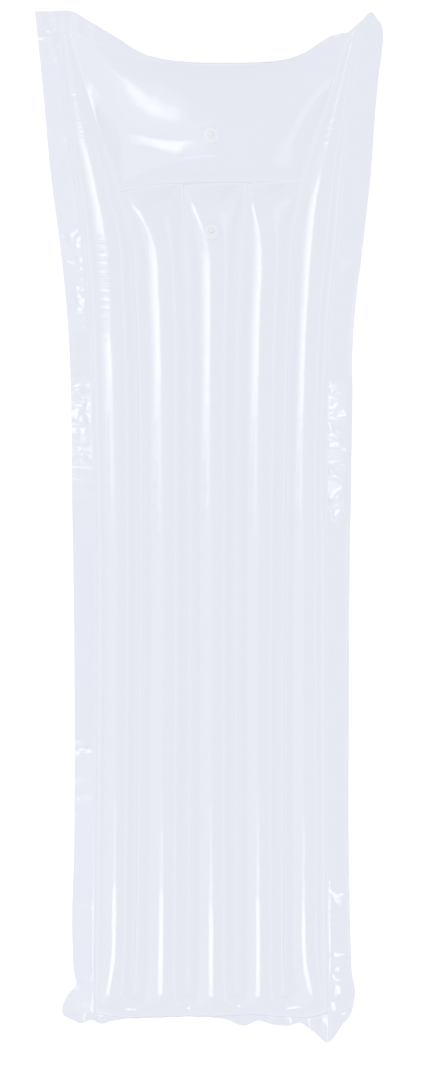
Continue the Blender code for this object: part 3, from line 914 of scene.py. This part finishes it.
def turned(line, closed=True):
    # an outline turned about the valve's axis
    bm = bmesh.new()
    points = [bm.verts.new((radius, 0, height)) for radius, height in line]
    edges = [bm.edges.new(pair) for pair in zip(points, points[1:])]
    if closed:
        edges.append(bm.edges.new((points[-1], points[0])))
    bmesh.ops.spin(bm, geom=points + edges, axis=(0, 0, 1), cent=(0, 0, 0), angle=2 * math.pi,
                   steps=valve["steps"], use_merge=True)
    bmesh.ops.remove_doubles(bm, verts=bm.verts[:], dist=0.000001)
    bmesh.ops.recalc_face_normals(bm, faces=bm.faces[:])
    return bm


def soften(bm, edges, offset, segments):
    bmesh.ops.bevel(bm, geom=edges, offset=offset, segments=segments, profile=0.5, affect="EDGES",
                    material=-1)


def block(low, high, rounding, upright=0.0):
    # a box with rounded edges, its upright corners rounded more
    bm = bmesh.new()
    bmesh.ops.create_cube(bm, size=1)
    middle = [(a + b) / 2 for a, b in zip(low, high)]
    size = [b - a for a, b in zip(low, high)]
    bmesh.ops.scale(bm, vec=size, verts=bm.verts[:])
    bmesh.ops.translate(bm, vec=middle, verts=bm.verts[:])
    if upright:
        corners = [e for e in bm.edges if abs(e.verts[0].co.z - e.verts[1].co.z) > size[2] / 2]
        soften(bm, corners, upright, 6)
    rims = [e for e in bm.edges if e.calc_face_angle(0) > 1]
    soften(bm, rims, rounding, 3)
    return bm


def asPiece(name, bm, seat):
    # the bmesh as an object at its seat in the film, its place in its mesh
    bmesh.ops.translate(bm, vec=(0, seat["y"], seat["face"]), verts=bm.verts[:])
    return smoothed(fromBmesh(name, bm), valve["sharpAngle"])


def joined(piece, extra):
    # piece with an extra block merged into it
    addBoolean(piece, "UNION", extra)
    applied(piece)
    bpy.data.objects.remove(extra)
    return smoothed(piece, valve["sharpAngle"])


def makeFlange(name, seat):
    low, high, outer = valve["flangeLow"], valve["flangeHigh"], valve["flangeOuter"]
    ridge = (outer - valve["flangeInner"] - 0.0014) / valve["flangeRidges"]
    corners = [(valve["flangeInner"], low, 0.0001), (outer, low, 0.0001), (outer, low + 0.0004, 0.0002)]
    for i in range(valve["flangeRidges"]):
        place = outer - 0.0007 - ridge * i
        corners.append((place, high - 0.0002, 0.0001))
        corners.append((place - ridge / 2, high, 0.0003))
    corners += [(valve["flangeInner"] + 0.0004, high - 0.0002, 0.0001), (valve["flangeInner"], high, 0.0001)]
    return asPiece(name, turned(rounded(corners)), seat)


def makeCup(name, seat):
    # a soft bowl from its mouth to the stem's collar, with a lip on the flange
    line = [Vector((valve["mouth"] + 0.0004, valve["cupStart"] - 0.0002))]
    for i in range(valve["cupRings"] + 1):
        angle = math.pi / 2 * i / valve["cupRings"]
        radius = valve["cupInner"] + (valve["mouth"] - valve["cupInner"]) * math.cos(angle)
        line.append(Vector((radius, valve["cupStart"] + valve["cupDepth"] * math.sin(angle))))
    piece = asPiece(name, turned(line, closed=False), seat)
    addWall(piece, valve["cupWall"])
    return applied(piece)


def makeNeck(name, seat):
    neck, bore, rim, foot = valve["neck"], valve["bore"], valve["rim"], valve["foot"]
    collarLow = valve["cupStart"] + valve["cupDepth"] - 0.0006
    corners = [
        (neck, rim, 0.0004),
        (neck, rim + 0.0020, 0.0001),
        (neck + 0.0004, rim + 0.0024, 0.0002),
        (neck + 0.0004, rim + 0.0030, 0.0002),
        (neck, rim + 0.0034, 0.0001),
        (neck, collarLow - 0.0003, 0.0003),
        (valve["collar"], collarLow, 0.0002),
        (valve["collar"], collarLow + 0.0012, 0.0003),
        (neck, collarLow + 0.0015, 0.0003),
        (neck - 0.0002, foot, 0.0003),
        (bore, foot, 0.0001),
        (bore, rim, 0.0005),
    ]
    piece = asPiece(name, turned(rounded(corners)), seat)
    half = valve["bandWidth"] / 2
    lug = block((neck - 0.0009, -half, rim + 0.00015), (valve["lugEnd"], half, rim + 0.0016), 0.0002)
    return joined(piece, asPiece(name + "Lug", lug, seat))


def makeFlap(name, seat):
    low, radius = valve["foot"] + 0.0003, valve["flapRadius"]
    corners = [(0, low, 0), (radius, low, 0.0002), (radius, low + 0.0008, 0.0003), (0, low + 0.0008, 0)]
    piece = asPiece(name, turned(rounded(corners), closed=False), seat)
    half = valve["flapWidth"] / 2
    ear = block((radius - 0.0010, -half, low + 0.0001), (valve["flapHinge"], half, low + 0.0007), 0.0002)
    return joined(piece, asPiece(name + "Ear", ear, seat))


def makeStopper(name, seat):
    cap, face, rim, end = valve["cap"], valve["capFace"], valve["rim"], valve["plugEnd"]
    plug = valve["bore"] - 0.0003
    corners = [
        (0, face + 0.0004, 0),
        (0.0036, face + 0.0004, 0.0006),
        (0.0048, face, 0.0005),
        (cap, face, 0.0005),
        (cap, rim - 0.0003, 0.0003),
        (plug, rim - 0.0003, 0.0001),
        (plug, rim + 0.0008, 0.0001),
        (plug + 0.0002, rim + 0.0013, 0.0002),
        (plug, rim + 0.0018, 0.0001),
        (plug - 0.0010, end, 0.0003),
        (plug - 0.0017, end, 0.0002),
        (plug - 0.0019, rim + 0.0010, 0.0003),
        (0, rim + 0.0010, 0),
    ]
    piece = asPiece(name, turned(rounded(corners), closed=False), seat)
    half = valve["tabWidth"] / 2
    tab = block((-valve["tabEnd"], -half, rim - 0.0010), (0.0010 - cap, half, rim - 0.0003), 0.0001,
                upright=0.0011)
    joined(piece, asPiece(name + "Tab", tab, seat))
    for place in (0.0005, 0.0013, 0.0021):
        low = (place - valve["tabEnd"], 0.0008 - half, rim - 0.0013)
        high = (place - valve["tabEnd"] + 0.0004, half - 0.0008, rim - 0.0008)
        joined(piece, asPiece(name + "Grip", block(low, high, 0.0001), seat))
    return piece


def makeStrap(name, seat):
    # a band from the cap to the lug
    band = {"from": 0.0062, "to": 0.0101, "turnIn": 0.0089, "rows": 26, "thickOrUnlifted": 0.0007}
    bm = bmesh.new()
    bmesh.ops.create_grid(bm, x_segments=band["rows"], y_segments=6, size=0.5)
    for vert in bm.verts:
        vert.co.x = mix(band["from"], band["to"], vert.co.x + 0.5)
        vert.co.y *= valve["bandWidth"] - 0.0004
        past = max(vert.co.x - band["turnIn"], 0)
        vert.co.z = valve["rim"] - 0.0007 + past * 1.4
        vert.co.x -= past * 0.55
    bmesh.ops.solidify(bm, geom=bm.faces[:], thickness=band["thickOrUnlifted"])
    bmesh.ops.recalc_face_normals(bm, faces=bm.faces[:])
    rims = [e for e in bm.edges if e.is_manifold and e.calc_face_angle(0) > 1]
    soften(bm, rims, 0.0001, 2)
    return asPiece(name, bm, seat)


def makeValveMaterial():
    look = {
        "color": (0.986, 0.989, 0.996),
        "roughness": 0.12,
        "index": 1.01,
        "coatWeight": 0.35,
        "coatRoughness": 0.20,
        "grainScale": 1500.0,
        "grainHeight": 0.00003,
    }
    material, nodes, links = newMaterial("softValvePlastic")
    shader = nodes["Principled BSDF"]
    shader.inputs["Base Color"].default_value = (*look["color"], 1)
    shader.inputs["Roughness"].default_value = look["roughness"]
    shader.inputs["Transmission Weight"].default_value = 1.0
    shader.inputs["IOR"].default_value = look["index"]
    shader.inputs["Coat Weight"].default_value = look["coatWeight"]
    shader.inputs["Coat Roughness"].default_value = look["coatRoughness"]
    grain, bump = addBump(nodes, links, look["grainScale"], look["grainHeight"])
    links.new(bump.outputs["Normal"], shader.inputs["Normal"])
    return material


valveMaterial = makeValveMaterial()
for prefix, seat in seats.items():
    stem, plug, check = prefix + "_stem", prefix + "_plug", prefix + "_check"
    name = prefix.split("_")[0]
    made = {
        "flange": makeFlange(name + "Flange", seat),
        "cup": makeCup(name + "Cup", seat),
        "neck": makeNeck(name + "Neck", seat),
        "flap": makeFlap(name + "Flap", seat),
        "stopper": makeStopper(name + "Stopper", seat),
        "strap": makeStrap(name + "Strap", seat),
    }
    for part, piece in made.items():
        piece.data.materials.clear()
        piece.data.materials.append(valveMaterial)
        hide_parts(prefix + "_" + part)
    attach(made["flange"], "mat")
    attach(made["neck"], stem)
    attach(made["flap"], check)
    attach(made["stopper"], plug)
    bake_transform(made["cup"])
    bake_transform(made["strap"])
    print(name, "valve made")


# Stage, light and camera
stage = {
    "imageHeight": 1080,
    "metresPerPixel": 0.00175,
    "centreX": 0.0131,  # the picture's middle on the mat
    "centreY": -0.0201,
    "cameraHeight": 3.0,
    "lightHeight": 2.0,
    "floorSize": 6,
    "floorWhite": 0.86,
    "floorGlow": 0.86,  # where the camera sees it, beside a part that keeps the shadow
    "floorShade": 0.22,
    "world": 0.88,
    "throughFilm": 0.90,  # white of the floor seen through the film
}


def choose(nodes, links, factor, first, second):
    # the first shader where the factor is 0, the second where it is 1
    chooser = nodes.new("ShaderNodeMixShader")
    for i, output in enumerate((factor, first, second)):
        links.new(output, chooser.inputs[i])
    return chooser.outputs[0]


def makeStage():
    bm = bmesh.new()
    bmesh.ops.create_grid(bm, x_segments=1, y_segments=1, size=stage["floorSize"])
    floor = fromBmesh("floor", bm)
    floor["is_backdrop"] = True
    material, nodes, links = newMaterial("paleFloor")
    nodes.clear()
    output = nodes.new("ShaderNodeOutputMaterial")
    diffuse = nodes.new("ShaderNodeBsdfDiffuse")
    diffuse.inputs["Color"].default_value = (*[stage["floorWhite"]] * 3, 1)
    soft = nodes.new("ShaderNodeBsdfDiffuse")
    soft.inputs["Color"].default_value = (*[stage["floorShade"]] * 3, 1)
    white = nodes.new("ShaderNodeEmission")
    white.inputs["Strength"].default_value = stage["floorGlow"]
    add = nodes.new("ShaderNodeAddShader")
    links.new(soft.outputs[0], add.inputs[0])
    links.new(white.outputs[0], add.inputs[1])
    path = nodes.new("ShaderNodeLightPath")
    seen = nodes.new("ShaderNodeMath")
    seen.operation = "ADD"
    seen.use_clamp = True
    links.new(path.outputs["Is Camera Ray"], seen.inputs[0])
    links.new(path.outputs["Is Glossy Ray"], seen.inputs[1])
    floorLook = choose(nodes, links, seen.outputs[0], diffuse.outputs[0], add.outputs[0])
    # what shows through the film is the floor's plain white
    plain = nodes.new("ShaderNodeEmission")
    plain.inputs["Strength"].default_value = stage["throughFilm"]
    floorLook = choose(nodes, links, path.outputs["Is Transmission Ray"], floorLook, plain.outputs[0])
    # clear from below
    clear = nodes.new("ShaderNodeBsdfTransparent")
    side = nodes.new("ShaderNodeNewGeometry")
    floorLook = choose(nodes, links, side.outputs["Backfacing"], floorLook, clear.outputs[0])
    links.new(floorLook, output.inputs[0])
    floor.data.materials.append(material)

    world = bpy.data.worlds.new("studio")
    scene.world = world
    world.use_nodes = True
    background = world.node_tree.nodes["Background"]
    background.inputs["Color"].default_value = (1, 1, 1, 1)
    background.inputs["Strength"].default_value = stage["world"]


def makeLight(name, acrossRange, alongRange, radiance, spread=180):
    # a softbox over the mat, facing down
    light = bpy.data.lights.new(name, "AREA")
    light.shape = "RECTANGLE"
    light.size, light.size_y = acrossRange[1] - acrossRange[0], alongRange[1] - alongRange[0]
    light.energy = radiance * math.pi * light.size * light.size_y
    light.spread = math.radians(spread)
    lamp = link(bpy.data.objects.new(name, light))
    lamp.location = (sum(acrossRange) / 2, sum(alongRange) / 2, stage["lightHeight"])
    lamp.visible_transmission = False  # not seen through the film from below


def makeCamera():
    camera = bpy.data.cameras.new("camera")
    camera.sensor_width = 36
    tall = stage["imageHeight"] * stage["metresPerPixel"]
    distance = stage["cameraHeight"] - level["body"]
    camera.lens = camera.sensor_width * distance / tall
    camera.clip_end = 50
    eye = link(bpy.data.objects.new("camera", camera))
    eye.location = (stage["centreX"], stage["centreY"], stage["cameraHeight"])
    scene.camera = eye


makeStage()
# softboxes, brightest at the side nearest the mat: range across, range along, radiance, spread
softboxes = {
    "headHot": ((-1.25, -0.52), (0.38, 1.10), 4.18),
    "headHotEnd": ((-1.25, -0.52), (0.06, 0.38), 1.98),
    "headMiddle": ((-1.75, -1.25), (0.30, 1.20), 2.86),
    "headSoft": ((-2.50, -1.75), (0.20, 1.30), 1.54),
    "headFaint": ((-3.50, -2.50), (0.10, 1.30), 0.55),
    "upper": ((-1.60, -0.74), (2.44, 3.02), 3.52),
    "upperSoft": ((-2.00, -0.60), (1.94, 3.60), 0.77),
    "footHot": ((-0.56, 0.06), (-1.95, -1.05), 1.76, 104),
    "footHotEnd": ((-0.50, 0.0), (-1.05, -0.82), 0.62, 104),
    "leftPanel": ((-4.20, -0.20), (-2.60, 2.40), 0.44),
    "rightPanel": ((2.10, 3.20), (-2.60, 2.40), 0.66),
}
for name, box in softboxes.items():
    makeLight(name, *box)
makeCamera()
scene.view_settings.view_transform = "Standard"
print("stage, lights and camera made")

low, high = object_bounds()
